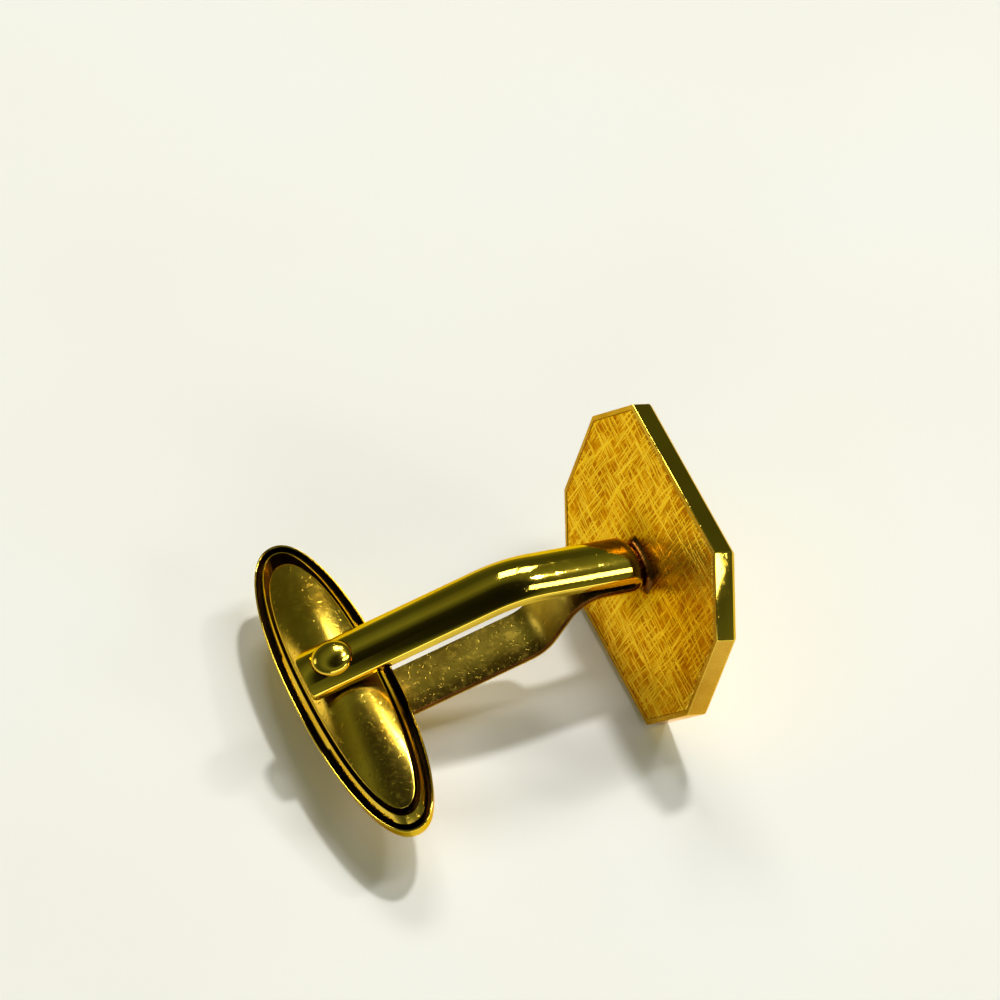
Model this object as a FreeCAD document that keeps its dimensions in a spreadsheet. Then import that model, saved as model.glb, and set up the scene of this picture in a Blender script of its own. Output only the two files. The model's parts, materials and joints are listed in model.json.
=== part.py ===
import FreeCAD, Part
import math
import os

import Sketcher
from FreeCAD import Placement, Rotation, Vector

# Swivel-back cufflink, in millimetres.
# Sub-parts are drawn in the link frame: the pivot is the origin, X runs along the fork towards the head,
# Y along the toggle and Z along the rivet. The head has a frame of its own on the end of the bent neck.
# One rest placement then lays the whole link on its side, on the lower long edge of the head and the end
# of the far prong, with the table at Z = 0.

doc = FreeCAD.newDocument("cufflink")
sheet = doc.addObject("Spreadsheet::Sheet", "dims")

DIMENSIONS = {
    # clipped-corner head: a tray with a back plate let in
    "head_length": 15.8,
    "head_width": 11.0,
    "head_thickness": 1.15,
    "corner_cut_long": 2.7,
    "corner_cut_short": 3.15,
    "rim_width": 0.25,
    "plate_thickness": 0.6,
    "plate_clearance": 0.01,
    "front_bevel": 0.2,
    # hairpin post of D-section strip
    "post_reach": 15.15,
    "post_drop": 0.9,
    "neck_bend": 32.0,
    "fork_gap": 3.7,
    "prong_width": 2.85,
    "prong_thickness": 0.75,
    "prong_edge": 0.35,
    "prong_past_pin": 1.6,
    "end_round_back": 0.9,
    "end_round_front": 0.25,
    "neck_slit": 0.3,
    "near_bend_radius": 7.0,
    "ramp_start": 6.2,
    "ramp_slope": 36.0,
    "ramp_radius": 1.8,
    "crest_radius": 2.2,
    # solder bead between post and back plate
    "solder_height": 0.45,
    "solder_flare": 0.3,
    # rivet and the sleeve on it
    "rivet_shank": 1.1,
    "rivet_head": 2.0,
    "rivet_head_height": 0.5,
    "rivet_tail": 1.9,
    "rivet_tail_height": 0.25,
    "rivet_seat_depth": 0.15,
    "rivet_seat_margin": 0.05,
    "rivet_clearance": 0.01,
    "sleeve_wall": 0.25,
    "running_clearance": 0.05,
    # toggle of two shells
    "toggle_length": 19.5,
    "toggle_width": 4.9,
    "swing_clearance": 0.1,
    "lip_level": 0.6,
    "lip_width": 0.25,
    "lip_height": 0.45,
    "lip_overhang": 0.08,
    "hull_wall": 0.45,
    "flange_thickness": 0.28,
    "flange_width": 0.6,
    "flange_clearance": 0.01,
    "dome_wall": 0.35,
    # leaf spring in the toggle
    "spring_length": 6.0,
    "spring_height": 0.7,
    "spring_thickness": 0.18,
    "spring_clearance": 0.03,
}

for row, (alias, value) in enumerate(DIMENSIONS.items(), start=1):
    sheet.set(f"A{row}", alias)
    sheet.set(f"B{row}", str(value))
    sheet.setAlias(f"B{row}", alias)
doc.recompute()


def size(expression):
    """Present value of a driving dimension, or of an expression of them."""
    return float(sheet.evalExpression(expression))


def bind(feature, **expressions):
    """Bind sizes of a feature to the sheet; a double underscore stands for a dot."""
    for name, expression in expressions.items():
        feature.setExpression(name.replace("__", "."), expression)
    return feature


def add(kind, name, **expressions):
    """One document object with its sizes bound to the sheet."""
    return bind(doc.addObject(kind, name), **expressions)


def fuse(name, shapes):
    """Several document objects as one."""
    feature = doc.addObject("Part::MultiFuse", name)
    feature.Shapes = shapes
    return feature


def cut(name, base, tool):
    """One document object less another."""
    feature = doc.addObject("Part::Cut", name)
    feature.Base = base
    feature.Tool = tool
    return feature


# Head frame: X across the short side, Y along the long side, Z out of the front; the origin is the
# centre of the back face, where the neck meets it.


def moved_in_clip(clip, other, inset):
    """Length of a corner's clip along one side, after the outline is moved in by an expression."""
    slope = f"({clip} / {other})"
    return f"({clip} - ({inset}) * (1 + {slope} - sqrt(1 + {slope}^2)))"


def octagon_sketch(body, name, inset):
    """Clipped-corner outline of the head, moved in from its edge by an expression."""
    half_x = f"(dims.head_width / 2 - ({inset}))"
    half_y = f"(dims.head_length / 2 - ({inset}))"
    clip_x = moved_in_clip("dims.corner_cut_short", "dims.corner_cut_long", inset)
    clip_y = moved_in_clip("dims.corner_cut_long", "dims.corner_cut_short", inset)
    quarter = [(half_x, f"({half_y} - {clip_y})"), (f"({half_x} - {clip_x})", half_y)]
    corners = quarter + [(f"-{x}", y) for x, y in reversed(quarter)]
    corners += [(f"-{x}", f"-{y}") for x, y in quarter] + [(x, f"-{y}") for x, y in reversed(quarter)]
    sketch = body.newObject("Sketcher::SketchObject", name)
    plane = next(p for p in body.Origin.OriginFeatures if p.Role == "XY_Plane")
    sketch.AttachmentSupport = [(plane, "")]
    sketch.MapMode = "FlatFace"
    points = [Vector(size(x), size(y), 0) for x, y in corners]
    for start, end in zip(points, points[1:] + points[:1]):
        sketch.addGeometry(Part.LineSegment(start, end), False)
    for i, point in enumerate(points):
        before = (i - 1) % len(points)
        sketch.addConstraint(Sketcher.Constraint("Coincident", before, 2, i, 1))
        for kind, value, expression in zip(("DistanceX", "DistanceY"), (point.x, point.y), corners[i]):
            index = sketch.addConstraint(Sketcher.Constraint(kind, -1, 1, i, 1, value))
            sketch.renameConstraint(index, f"{kind}{i}")
            sketch.setExpression(f"Constraints.{kind}{i}", expression)
    return sketch


def make_face_tray():
    """Front plate and side walls of the head, recessed at the back for the plate."""
    body = doc.addObject("PartDesign::Body", "face_tray")
    pad = body.newObject("PartDesign::Pad", "tray_pad")
    pad.Profile = octagon_sketch(body, "tray_outline", "0")
    bind(pad, Length="dims.head_thickness")
    recess = body.newObject("PartDesign::Pocket", "tray_recess")
    recess.Profile = octagon_sketch(body, "recess_outline", "dims.rim_width")
    recess.Reversed = True
    bind(recess, Length="dims.plate_thickness")
    doc.recompute()
    if recess.Shape.Volume >= pad.Shape.Volume:
        raise RuntimeError("the recess of the tray cuts nothing")
    front = size("dims.head_thickness")
    edges = [f"Edge{i}" for i, edge in enumerate(recess.Shape.Edges, start=1)
             if all(abs(v.Z - front) < 1e-6 for v in edge.Vertexes)]
    bevel = body.newObject("PartDesign::Chamfer", "front_edge")
    bevel.Base = (recess, edges)
    bind(bevel, Size="dims.front_bevel")
    return body


def make_back_plate():
    """Plate let into the tray, flush with its rim, that carries the post."""
    body = doc.addObject("PartDesign::Body", "back_plate")
    pad = body.newObject("PartDesign::Pad", "plate_pad")
    pad.Profile = octagon_sketch(body, "plate_outline", "dims.rim_width + dims.plate_clearance")
    bind(pad, Length="dims.plate_thickness")
    return body


# Bent strips: a section swept along straight runs and tangent arcs in one plane.


def meet(p, along_p, q, along_q):
    """Point where two lines of the XZ plane cross."""
    cross = along_p.x * along_q.z - along_p.z * along_q.x
    gap = q - p
    return p + along_p * ((gap.x * along_q.z - gap.z * along_q.x) / cross)


def rounded_run(points, radii):
    """Edges through the points, with each inner corner rounded by a tangent arc."""
    edges = []
    start = points[0]
    for before, corner, after, radius in zip(points, points[1:], points[2:], radii):
        back = (before - corner).normalize()
        onward = (after - corner).normalize()
        half_angle = back.getAngle(onward) / 2
        reach = radius / math.tan(half_angle)
        bisector = (back + onward).normalize()
        middle = corner + bisector * (radius / math.sin(half_angle) - radius)
        edges.append(Part.LineSegment(start, corner + back * reach).toShape())
        edges.append(Part.Arc(corner + back * reach, middle, corner + onward * reach).toShape())
        start = corner + onward * reach
    edges.append(Part.LineSegment(start, points[-1]).toShape())
    return edges


def along(angle):
    """Direction in the XZ plane, in degrees above the fork's axis."""
    return Vector(math.cos(math.radians(angle)), 0, math.sin(math.radians(angle)))


def make_strip():
    """Hairpin of D-section strip: near prong, neck, turn on the head, neck, ramp and far prong."""
    half_gap = size("dims.fork_gap / 2")
    half_slit = size("dims.neck_slit / 2")
    width = size("dims.prong_width")
    thickness = size("dims.prong_thickness")
    bend = size("dims.neck_bend")
    # the strip runs past the prong's end, which the outline below then trims
    start_x = -2 * size("dims.prong_past_pin")

    seat = Vector(size("dims.post_reach"), 0, -size("dims.post_drop"))
    neck = along(-bend)
    side = along(90 - bend)
    turn_centre = seat - neck * (half_slit + thickness)
    near_turn = turn_centre + side * half_slit
    far_turn = turn_centre - side * half_slit
    near_start = Vector(start_x, 0, half_gap)
    far_start = Vector(start_x, 0, -half_gap)
    near_corner = meet(near_start, along(0), near_turn, neck)
    # the far prong leaves its straight run a set distance short of the head
    ramp_corner = Vector(seat.x - size("dims.ramp_start"), 0, -half_gap)
    crest_corner = meet(ramp_corner, along(size("dims.ramp_slope")), far_turn, neck)

    path = rounded_run([near_start, near_corner, near_turn], [size("dims.near_bend_radius")])
    path.append(Part.Arc(near_turn, turn_centre + neck * half_slit, far_turn).toShape())
    far_radii = [size("dims.crest_radius"), size("dims.ramp_radius")]
    path += rounded_run([far_turn, crest_corner, ramp_corner, far_start], far_radii)

    flat = half_gap
    shoulder = half_gap + size("dims.prong_edge")
    crest = half_gap + thickness
    left = [Vector(start_x, -width / 2, z) for z in (flat, shoulder)]
    right = [Vector(start_x, width / 2, z) for z in (shoulder, flat)]
    section = Part.Wire([
        Part.LineSegment(left[0], left[1]).toShape(),
        Part.Arc(left[1], Vector(start_x, 0, crest), right[0]).toShape(),
        Part.LineSegment(right[0], right[1]).toShape(),
        Part.LineSegment(right[1], left[0]).toShape(),
    ])
    swept = Part.Wire(path).makePipeShell([section], True, False)

    strip = doc.addObject("Part::Feature", "hairpin_strip")
    strip.Shape = swept.common(prong_outline(swept))
    return strip


def prong_outline(strip):
    """Upright prism round the strip, with the two corners of the prong ends rounded."""
    past = size("dims.prong_past_pin")
    half = size("dims.prong_width / 2")
    back = size("dims.end_round_back")
    front = size("dims.end_round_front")
    margin = size("dims.prong_thickness")
    box = strip.BoundBox
    low, high = box.ZMin - margin, box.ZMax + margin
    far_x = box.XMax + margin
    diagonal = 1 - math.sqrt(0.5)

    def at(x, y):
        return Vector(x, y, low)

    outline = Part.Wire([
        Part.LineSegment(at(far_x, -half), at(front - past, -half)).toShape(),
        Part.Arc(at(front - past, -half), at(front * diagonal - past, front * diagonal - half),
                 at(-past, front - half)).toShape(),
        Part.LineSegment(at(-past, front - half), at(-past, half - back)).toShape(),
        Part.Arc(at(-past, half - back), at(back * diagonal - past, half - back * diagonal),
                 at(back - past, half)).toShape(),
        Part.LineSegment(at(back - past, half), at(far_x, half)).toShape(),
        Part.LineSegment(at(far_x, half), at(far_x, -half)).toShape(),
    ])
    return Part.Face(outline).extrude(Vector(0, 0, high - low))


PRONG_CREST = "(dims.fork_gap / 2 + dims.prong_thickness)"
RIVET_SEAT = f"({PRONG_CREST} - dims.rivet_seat_depth)"
RIVET_HOLE = "(dims.rivet_shank / 2 + dims.rivet_clearance)"


def make_fork_post():
    """The hairpin with a rivet hole in each prong and the two flats that the rivet is set on."""
    near_hole = add("Part::Cylinder", "near_hole", Radius=RIVET_HOLE, Height=PRONG_CREST)
    near_flat = add("Part::Cylinder", "near_flat", Radius="dims.rivet_head / 2 + dims.rivet_seat_margin",
                    Height="dims.prong_thickness", Placement__Base__z=RIVET_SEAT)
    far_hole = add("Part::Cylinder", "far_hole", Radius=RIVET_HOLE, Height=PRONG_CREST,
                   Placement__Base__z=f"-{PRONG_CREST}")
    far_flat = add("Part::Cylinder", "far_flat", Radius="dims.rivet_tail / 2 + dims.rivet_seat_margin",
                   Height="dims.prong_thickness", Placement__Base__z=f"-{RIVET_SEAT} - dims.prong_thickness")
    near_drilled = cut("near_drilled", make_strip(), fuse("near_cuts", [near_hole, near_flat]))
    return cut("fork_post", near_drilled, fuse("far_cuts", [far_hole, far_flat]))


def make_solder_joint(post):
    """Bead that fills the corner between the turn of the hairpin and the back plate."""
    bead = add("Part::Ellipsoid", "solder_bead", Radius1="dims.solder_height",
               Radius2="dims.neck_slit / 2 + dims.prong_thickness + dims.solder_flare",
               Radius3="dims.prong_width / 2 + dims.solder_flare")
    bead.Angle1 = -90
    bead.Angle2 = 0
    return bead, cut("solder_joint", bead, post)


# Pivot


def make_pivot_rivet():
    """Rivet through both prongs: domed head on the near one, peened tail on the far one."""
    shank = add("Part::Cylinder", "rivet_body", Radius="dims.rivet_shank / 2", Height=f"2 * {RIVET_SEAT}",
                Placement__Base__z=f"-{RIVET_SEAT}")
    head = add("Part::Ellipsoid", "rivet_dome", Radius1="dims.rivet_head_height",
               Radius2="dims.rivet_head / 2", Radius3="dims.rivet_head / 2", Placement__Base__z=RIVET_SEAT)
    head.Angle1 = 0
    head.Angle2 = 90
    tail = add("Part::Ellipsoid", "rivet_peen", Radius1="dims.rivet_tail_height",
               Radius2="dims.rivet_tail / 2", Radius3="dims.rivet_tail / 2",
               Placement__Base__z=f"-{RIVET_SEAT}")
    tail.Angle1 = -90
    tail.Angle2 = 0
    return fuse("pivot_rivet", [shank, head, tail])


SLEEVE_RADIUS = f"({RIVET_HOLE} + dims.sleeve_wall)"


def make_pivot_sleeve():
    """Spacer tube that the prongs are riveted down on and the toggle turns round."""
    sizes = {"Height": "dims.fork_gap", "Placement__Base__z": "-dims.fork_gap / 2"}
    outside = add("Part::Cylinder", "sleeve_outside", Radius=SLEEVE_RADIUS, **sizes)
    bore = add("Part::Cylinder", "sleeve_bore", Radius=RIVET_HOLE, **sizes)
    return cut("pivot_sleeve", outside, bore)


# Toggle: a boat-shaped pan with a raised lip, and a domed cover set inside the lip

HALF_LENGTH = "dims.toggle_length / 2"
HALF_WIDTH = "dims.toggle_width / 2"
REACH_IN_GAP = "(dims.fork_gap / 2 - dims.swing_clearance)"
LEDGE = "(dims.lip_level - dims.lip_height)"
FLANGE_INSET = "(dims.lip_width + dims.flange_clearance)"
FLANGE_TOP = f"({LEDGE} + dims.flange_thickness)"
DOME_INSET = f"({FLANGE_INSET} + dims.flange_width)"
PIVOT_HOLE = f"{SLEEVE_RADIUS} + dims.running_clearance"


def oval_prism(name, inset, level, height):
    """Upright oval block of the toggle's outline, moved in by an expression."""
    oval = add("Part::Ellipse", f"{name}_oval", MajorRadius=f"{HALF_LENGTH} - {inset}",
               MinorRadius=f"{HALF_WIDTH} - {inset}", Placement__Base__z=level)
    oval.Placement.Rotation = Rotation(Vector(0, 0, 1), 90)
    prism = add("Part::Extrusion", name, LengthFwd=height)
    prism.Base = oval
    prism.DirMode = "Custom"
    prism.Dir = Vector(0, 0, 1)
    prism.Solid = True
    return prism


def oval_cap(name, inset, level, height, lowest, highest):
    """Half of an ellipsoid on the toggle's outline, moved in by an expression."""
    cap = add("Part::Ellipsoid", name, Radius1=height, Radius2=f"{HALF_WIDTH} - {inset}",
              Radius3=f"{HALF_LENGTH} - {inset}", Placement__Base__z=level)
    cap.Angle1 = lowest
    cap.Angle2 = highest
    return cap


def make_toggle_pan():
    """Outer shell: hull below, thin upright lip above, with a ledge inside the lip."""
    depth = f"({LEDGE} + {REACH_IN_GAP})"
    hull = oval_cap("hull_outside", "dims.lip_overhang", LEDGE, depth, -90, 0)
    lip = oval_prism("lip_outside", "0", LEDGE, "dims.lip_height")
    hollow = oval_cap("hull_inside", "(dims.lip_overhang + dims.hull_wall)", LEDGE,
                      f"{depth} - dims.hull_wall", -90, 0)
    mouth = oval_prism("lip_inside", "dims.lip_width", LEDGE, "2 * dims.lip_height")
    hole = add("Part::Cylinder", "pan_hole", Radius=PIVOT_HOLE, Height="dims.fork_gap / 2",
               Placement__Base__z="-dims.fork_gap / 2")
    return cut("toggle_pan", fuse("pan_solid", [hull, lip]), fuse("pan_hollow", [hollow, mouth, hole]))


def make_toggle_dome():
    """Inner shell: domed cover on a flange that sits on the pan's ledge."""
    flange = oval_prism("dome_flange", FLANGE_INSET, LEDGE, "dims.flange_thickness")
    rise = f"({REACH_IN_GAP} - {FLANGE_TOP})"
    outside = oval_cap("dome_outside", DOME_INSET, FLANGE_TOP, rise, 0, 90)
    hollow = oval_cap("dome_inside", f"({DOME_INSET} + dims.dome_wall)", FLANGE_TOP,
                      f"{rise} - dims.dome_wall", 0, 90)
    mouth = oval_prism("flange_mouth", f"({DOME_INSET} + dims.dome_wall + dims.lip_overhang)",
                       f"{LEDGE} - dims.flange_thickness", "2.5 * dims.flange_thickness")
    hole = add("Part::Cylinder", "dome_hole", Radius=PIVOT_HOLE, Height=REACH_IN_GAP)
    return cut("toggle_dome", fuse("dome_solid", [flange, outside]),
               fuse("dome_hollow", [hollow, mouth, hole]))


def make_friction_spring():
    """Bowed leaf inside the pan that rubs on the sleeve and keeps the toggle where it is put."""
    clearance = size("dims.spring_clearance")
    half = size("dims.spring_length / 2")
    height = size("dims.spring_height")
    thickness = size("dims.spring_thickness")
    top = size(LEDGE) - clearance
    bottom = top - height
    inset = size("dims.lip_overhang + dims.hull_wall")
    hull_x = size(HALF_WIDTH) - inset
    hull_y = size(HALF_LENGTH) - inset
    hull_z = size(f"{LEDGE} + {REACH_IN_GAP} - dims.hull_wall")
    room = 1 - (half / hull_y) ** 2 - ((size(LEDGE) - bottom) / hull_z) ** 2
    middle_x = size(SLEEVE_RADIUS) + clearance
    end_x = hull_x * math.sqrt(room) - clearance - thickness
    inner = [Vector(end_x, -half, bottom), Vector(middle_x, 0, bottom), Vector(end_x, half, bottom)]
    outer = [point + Vector(thickness, 0, 0) for point in inner]
    outline = Part.Wire([
        Part.Arc(*inner).toShape(),
        Part.LineSegment(inner[2], outer[2]).toShape(),
        Part.Arc(*reversed(outer)).toShape(),
        Part.LineSegment(outer[0], inner[0]).toShape(),
    ])
    spring = doc.addObject("Part::Feature", "friction_spring")
    spring.Shape = Part.Face(outline).extrude(Vector(0, 0, height))
    return spring


face_tray = make_face_tray()
back_plate = make_back_plate()
fork_post = make_fork_post()
solder_bead, solder_joint = make_solder_joint(fork_post)
pivot_rivet = make_pivot_rivet()
pivot_sleeve = make_pivot_sleeve()
toggle_pan = make_toggle_pan()
toggle_dome = make_toggle_dome()
friction_spring = make_friction_spring()
doc.recompute()

# Rest placement

neck_angle = size("dims.neck_bend")
head_seat = Vector(size("dims.post_reach"), 0, -size("dims.post_drop"))
head_frame = Placement(head_seat, Rotation(along(90 - neck_angle), Vector(0, -1, 0), along(-neck_angle), "ZXY"))


def lowest_of_head(rise):
    """Height of the head's lower front edge below the pivot, with the fork raised by an angle."""
    edge = size("dims.head_width / 2")
    front = size("dims.head_thickness")
    bevel = size("dims.front_bevel")
    corners = [Vector(-edge, 0, front - bevel), Vector(bevel - edge, 0, front)]
    return min(head_frame.multVec(corner).dot(along(90 - rise)) for corner in corners)


def lowest_of_far_end(rise):
    """Height of the far prong's end, or of the rivet's tail if that is lower."""
    up = along(90 - rise)
    prong = Vector(-size("dims.prong_past_pin"), 0, -size(PRONG_CREST)).dot(up)
    tail_reach = math.hypot(up.x * size("dims.rivet_tail / 2"), up.z * size("dims.rivet_tail_height"))
    return min(prong, -size(RIVET_SEAT) * up.z - tail_reach)


level_rise, steep_rise = 0.0, 60.0
for _ in range(50):
    rise_angle = (level_rise + steep_rise) / 2
    if lowest_of_head(rise_angle) < lowest_of_far_end(rise_angle):
        level_rise = rise_angle
    else:
        steep_rise = rise_angle

in_link_frame = [fork_post, pivot_rivet, pivot_sleeve, toggle_pan, toggle_dome, friction_spring]
in_head_frame = [face_tray, back_plate, solder_bead]
laid_down = Rotation(Vector(0, 1, 0), -rise_angle)
turned = [part.Shape.transformed(Placement(Vector(), laid_down).Matrix) for part in in_link_frame]
turned += [part.Shape.transformed((Placement(Vector(), laid_down) * head_frame).Matrix)
           for part in (face_tray, back_plate)]
box = FreeCAD.BoundBox()
for shape in turned:
    box.add(shape.optimalBoundingBox())
rest = Placement(Vector(-box.Center.x, -box.Center.y, -box.ZMin), laid_down)

for part in in_link_frame:
    part.Placement = rest
for part in in_head_frame:
    part.Placement = rest * head_frame
doc.recompute()

# Checks and files

sub_parts = [face_tray, back_plate, solder_joint, *in_link_frame]
failed = [item.Name for item in doc.Objects if {"Invalid", "Error"} & set(item.State)]
if failed:
    raise RuntimeError(f"failed objects: {failed}")
for part in sub_parts:
    if part.Shape.isNull() or not part.Shape.isValid() or len(part.Shape.Solids) != 1:
        raise RuntimeError(f"{part.Label} is not one valid solid")
if fork_post.Shape.common(pivot_rivet.Shape).Volume > 0:
    raise RuntimeError("the rivet does not fit the holes of the prongs")

os.makedirs("parts", exist_ok=True)
for part in sub_parts:
    part.Shape.exportStep(f"parts/{part.Label}.step")
    print(part.Label, f"volume {part.Shape.Volume:.3f} mm3")

pin_axis = laid_down.multVec(Vector(0, 0, 1))
front_centre = (rest * head_frame).multVec(Vector(0, 0, size("dims.head_thickness")))
print("rise", round(rise_angle, 3), "pivot", rest.Base, "pin axis", pin_axis)
print("front centre", front_centre, "front normal", (laid_down * head_frame.Rotation).multVec(Vector(0, 0, 1)))
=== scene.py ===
import json
import math
import random

import bmesh
import bpy
import numpy as np
from mathutils import Matrix, Vector, noise


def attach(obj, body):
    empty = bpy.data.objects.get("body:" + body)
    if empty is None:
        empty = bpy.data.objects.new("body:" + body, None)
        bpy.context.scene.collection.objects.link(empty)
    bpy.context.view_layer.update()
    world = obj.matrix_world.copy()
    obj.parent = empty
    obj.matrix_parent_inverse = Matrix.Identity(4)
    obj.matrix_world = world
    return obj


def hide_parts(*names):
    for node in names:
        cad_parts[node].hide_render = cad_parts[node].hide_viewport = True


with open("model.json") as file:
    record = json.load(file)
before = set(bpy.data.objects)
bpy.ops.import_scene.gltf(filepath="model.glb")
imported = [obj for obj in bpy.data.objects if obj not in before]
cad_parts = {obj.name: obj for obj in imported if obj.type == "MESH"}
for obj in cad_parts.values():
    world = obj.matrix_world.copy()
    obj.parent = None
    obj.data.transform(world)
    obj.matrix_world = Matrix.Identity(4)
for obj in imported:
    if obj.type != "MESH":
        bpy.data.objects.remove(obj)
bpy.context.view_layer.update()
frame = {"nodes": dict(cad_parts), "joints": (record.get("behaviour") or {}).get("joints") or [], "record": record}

MM = 0.001

# Head, in millimetres
HEAD_LENGTH = 15.8
HEAD_WIDTH = 11.0
HEAD_THICKNESS = 1.15
CLIP_LONG = 2.7
CLIP_SHORT = 3.15
RIM_WIDTH = 0.25
FRONT_BEVEL = 0.2
EDGE_ROUND = 0.05
PLATE_THICKNESS = 0.6
# gap round the plate, and how its border is rounded down to it
SEAM = 0.015
BORDER_WIDTH = 0.1
BORDER_DROP = 0.025

# Graver's strokes on the plate, in millimetres and degrees
HATCH_CELL = 0.039
HATCH_SEED = 11
STROKES = 330
STROKE_LENGTH = (0.8, 3.2)
STROKE_HALF_WIDTH = (0.045, 0.075)
STROKE_DEPTH = (0.01, 0.022)
STROKE_TAPER = 0.5
# one set of strokes for each turn from the head's long side
STROKE_TURNS = (3.7, 107.0)
STROKE_SPREAD = 5.0

# Post, in millimetres and degrees
POST_REACH = 15.15
POST_DROP = 0.9
HEAD_TILT = 32.0
NECK_BEND = 22.0
NECK_SLIT = 0.3
NEAR_BEND_RADIUS = 7.0
RAMP_START = 5.8
RAMP_SLOPE = 42.0
RAMP_RADIUS = 1.8
CREST_RADIUS = 2.2
FORK_GAP = 3.7
PRONG_WIDTH = 2.85
PRONG_THICKNESS = 0.75
PRONG_CORNER = 0.2
PRONG_SLOPE = 30.0
PRONG_PAST_PIN = 1.6
END_ROUND_BACK = 0.9
END_ROUND_FRONT = 0.25

# Solder round the foot of the post: the share of the strip's thickness that it grips, and how uneven it is
SOLDER_HEIGHT = 0.27
SOLDER_FLARE = 0.2
SOLDER_SUNK = 0.04
SOLDER_GRIP = 0.74
SOLDER_POWER = 3.0
SOLDER_UNEVEN = 0.05
SOLDER_LUMPS_PER_MM = 1.5

# Rivet, in millimetres
RIVET_SHANK = 1.1
RIVET_HEAD = 2.0
RIVET_HEAD_HEIGHT = 0.5
RIVET_HEAD_RIM = 0.06
RIVET_TAIL = 1.9
RIVET_TAIL_HEIGHT = 0.25
RIVET_SEAT_DEPTH = 0.15
RIVET_SEAT = FORK_GAP / 2 + PRONG_THICKNESS - RIVET_SEAT_DEPTH
RIVET_SEAT_MARGIN = 0.05

# Toggle, in millimetres
TOGGLE_LENGTH = 19.5
TOGGLE_WIDTH = 4.9
TOGGLE_CLEARANCE = 0.1
TOGGLE_REACH = FORK_GAP / 2 - TOGGLE_CLEARANCE
PIVOT_HOLE_RADIUS = 0.86
# power of its oval outline, and how much wider its rim is at the ends
PLAN_POWER = 2.2
END_SPREAD = 1.3
# the rim across, from the pan's edge inwards: thin edge, deep gutter, sloped bead, groove
PAN_EDGE = 0.1
PAN_EDGE_LEVEL = 0.3
PAN_EDGE_ROUND = 0.045
PAN_OVERHANG = 0.05
GUTTER = 0.26
GUTTER_LEVEL = -0.1
BEAD_WIDTH = 0.24
BEAD_SHOULDER = 0.3
BEAD_LEVEL = 0.6
BEAD_ROUND = 0.02
GROOVE = 0.13
GROOVE_LEVEL = 0.15
# the hull under it: its border, wall and fullness, where 1 is an ellipse
HULL_LEVEL = 0.12
HULL_WALL = 0.45
HULL_FULLNESS = 0.8
# the dome: a low crown on an upright wall, lower towards its ends
DOME_LENGTH = 16.7
DOME_WALL = 0.35
CROWN_DROP = 0.58
CROWN_SHOULDER = 0.12
SHOULDER_RINGS = (15.0, 30.0, 45.0)
SHOULDER_TURN = 57.0
CROWN_END_FALL = 0.72

# Mesh fineness, in millimetres and degrees
MERGE_DISTANCE = 1e-4
POLE_RADIUS = 1e-4
ON_PLANE = 1e-5
OVAL_SEGMENTS = 192
ROUND_SEGMENTS = 96
BEND_STEP = 4.0
FEWEST_BEND_STEPS = 8
SMOOTH_BELOW = 35.0
FACETS_SMOOTH_BELOW = 10.0
PLATE_SMOOTH_BELOW = 60.0


# Axes: a piece is drawn in millimetres on one of these two and placed by its matrix


def axes_at(origin, x, y, z):
    """Matrix that takes millimetres along the given axes to metres in the row frame."""
    turn = Matrix((x, y, z)).transposed().to_4x4()
    return Matrix.Translation(origin) @ turn @ Matrix.Scale(MM, 4)


def link_axes():
    """Pivot at the origin, X along the fork towards the head, Y along the toggle, Z along the rivet."""
    swivel = frame["joints"][0]
    z = Vector(swivel["axis"])
    y = Vector((0, 1, 0))
    return axes_at(Vector(swivel["pos_m"]), y.cross(z), y, z)


def head_axes():
    """Centre of the back face at the origin, X across the head, Y along it, Z out of its front."""
    front = next(m for m in frame["record"]["mounts"] if m["name"] == "front_face")
    z = Vector(front["axis"])
    y = Vector((0, -1, 0))
    return axes_at(Vector(front["pos_m"]) - z * HEAD_THICKNESS * MM, y.cross(z), y, z)


LINK = link_axes()
HEAD = head_axes()


# Materials


def srgb(code):
    """Linear colour of an sRGB hex code."""
    values = [int(code[i:i + 2], 16) / 255 for i in (1, 3, 5)]
    return (*(v / 12.92 if v <= 0.04045 else ((v + 0.055) / 1.055) ** 2.4 for v in values), 1.0)


def add_node(tree, kind, settings=None, inputs=None, stops=()):
    """A node with its settings, its inputs set to a value or linked to an output, and its ramp's stops."""
    made = tree.nodes.new(kind)
    for name, value in (settings or {}).items():
        setattr(made, name, value)
    for name, value in (inputs or {}).items():
        if isinstance(value, bpy.types.NodeSocket):
            tree.links.new(value, made.inputs[name])
        else:
            made.inputs[name].default_value = value
    if stops:
        elements = made.color_ramp.elements
        while len(elements) < len(stops):
            elements.new(stops[-1][0])
        for element, (place, code) in zip(elements, stops):
            element.position = place
            element.color = srgb(code)
    return made


def per_mm(size):
    """Texture scale of a pattern whose features repeat at a size in millimetres."""
    return 1 / (size * MM)


def new_material(name):
    """An empty material with its node tree, its metal shader and its Object coordinates."""
    material = bpy.data.materials.new(name)
    material.use_nodes = True
    tree = material.node_tree
    tree.nodes.clear()
    shader = add_node(tree, "ShaderNodeBsdfPrincipled", inputs={"Metallic": 1.0})
    add_node(tree, "ShaderNodeOutputMaterial", inputs={"Surface": shader.outputs["BSDF"]})
    place = add_node(tree, "ShaderNodeTexCoord").outputs["Object"]
    return material, tree, shader, place


# patterns of the plate, in millimetres: clouds of tone, handling marks, waves of the polish, pits
TONE_SIZE = 2.5
MARK_SIZE = 0.35
WAVE_SIZE = 1.6
PIT_SIZE = 0.22


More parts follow.
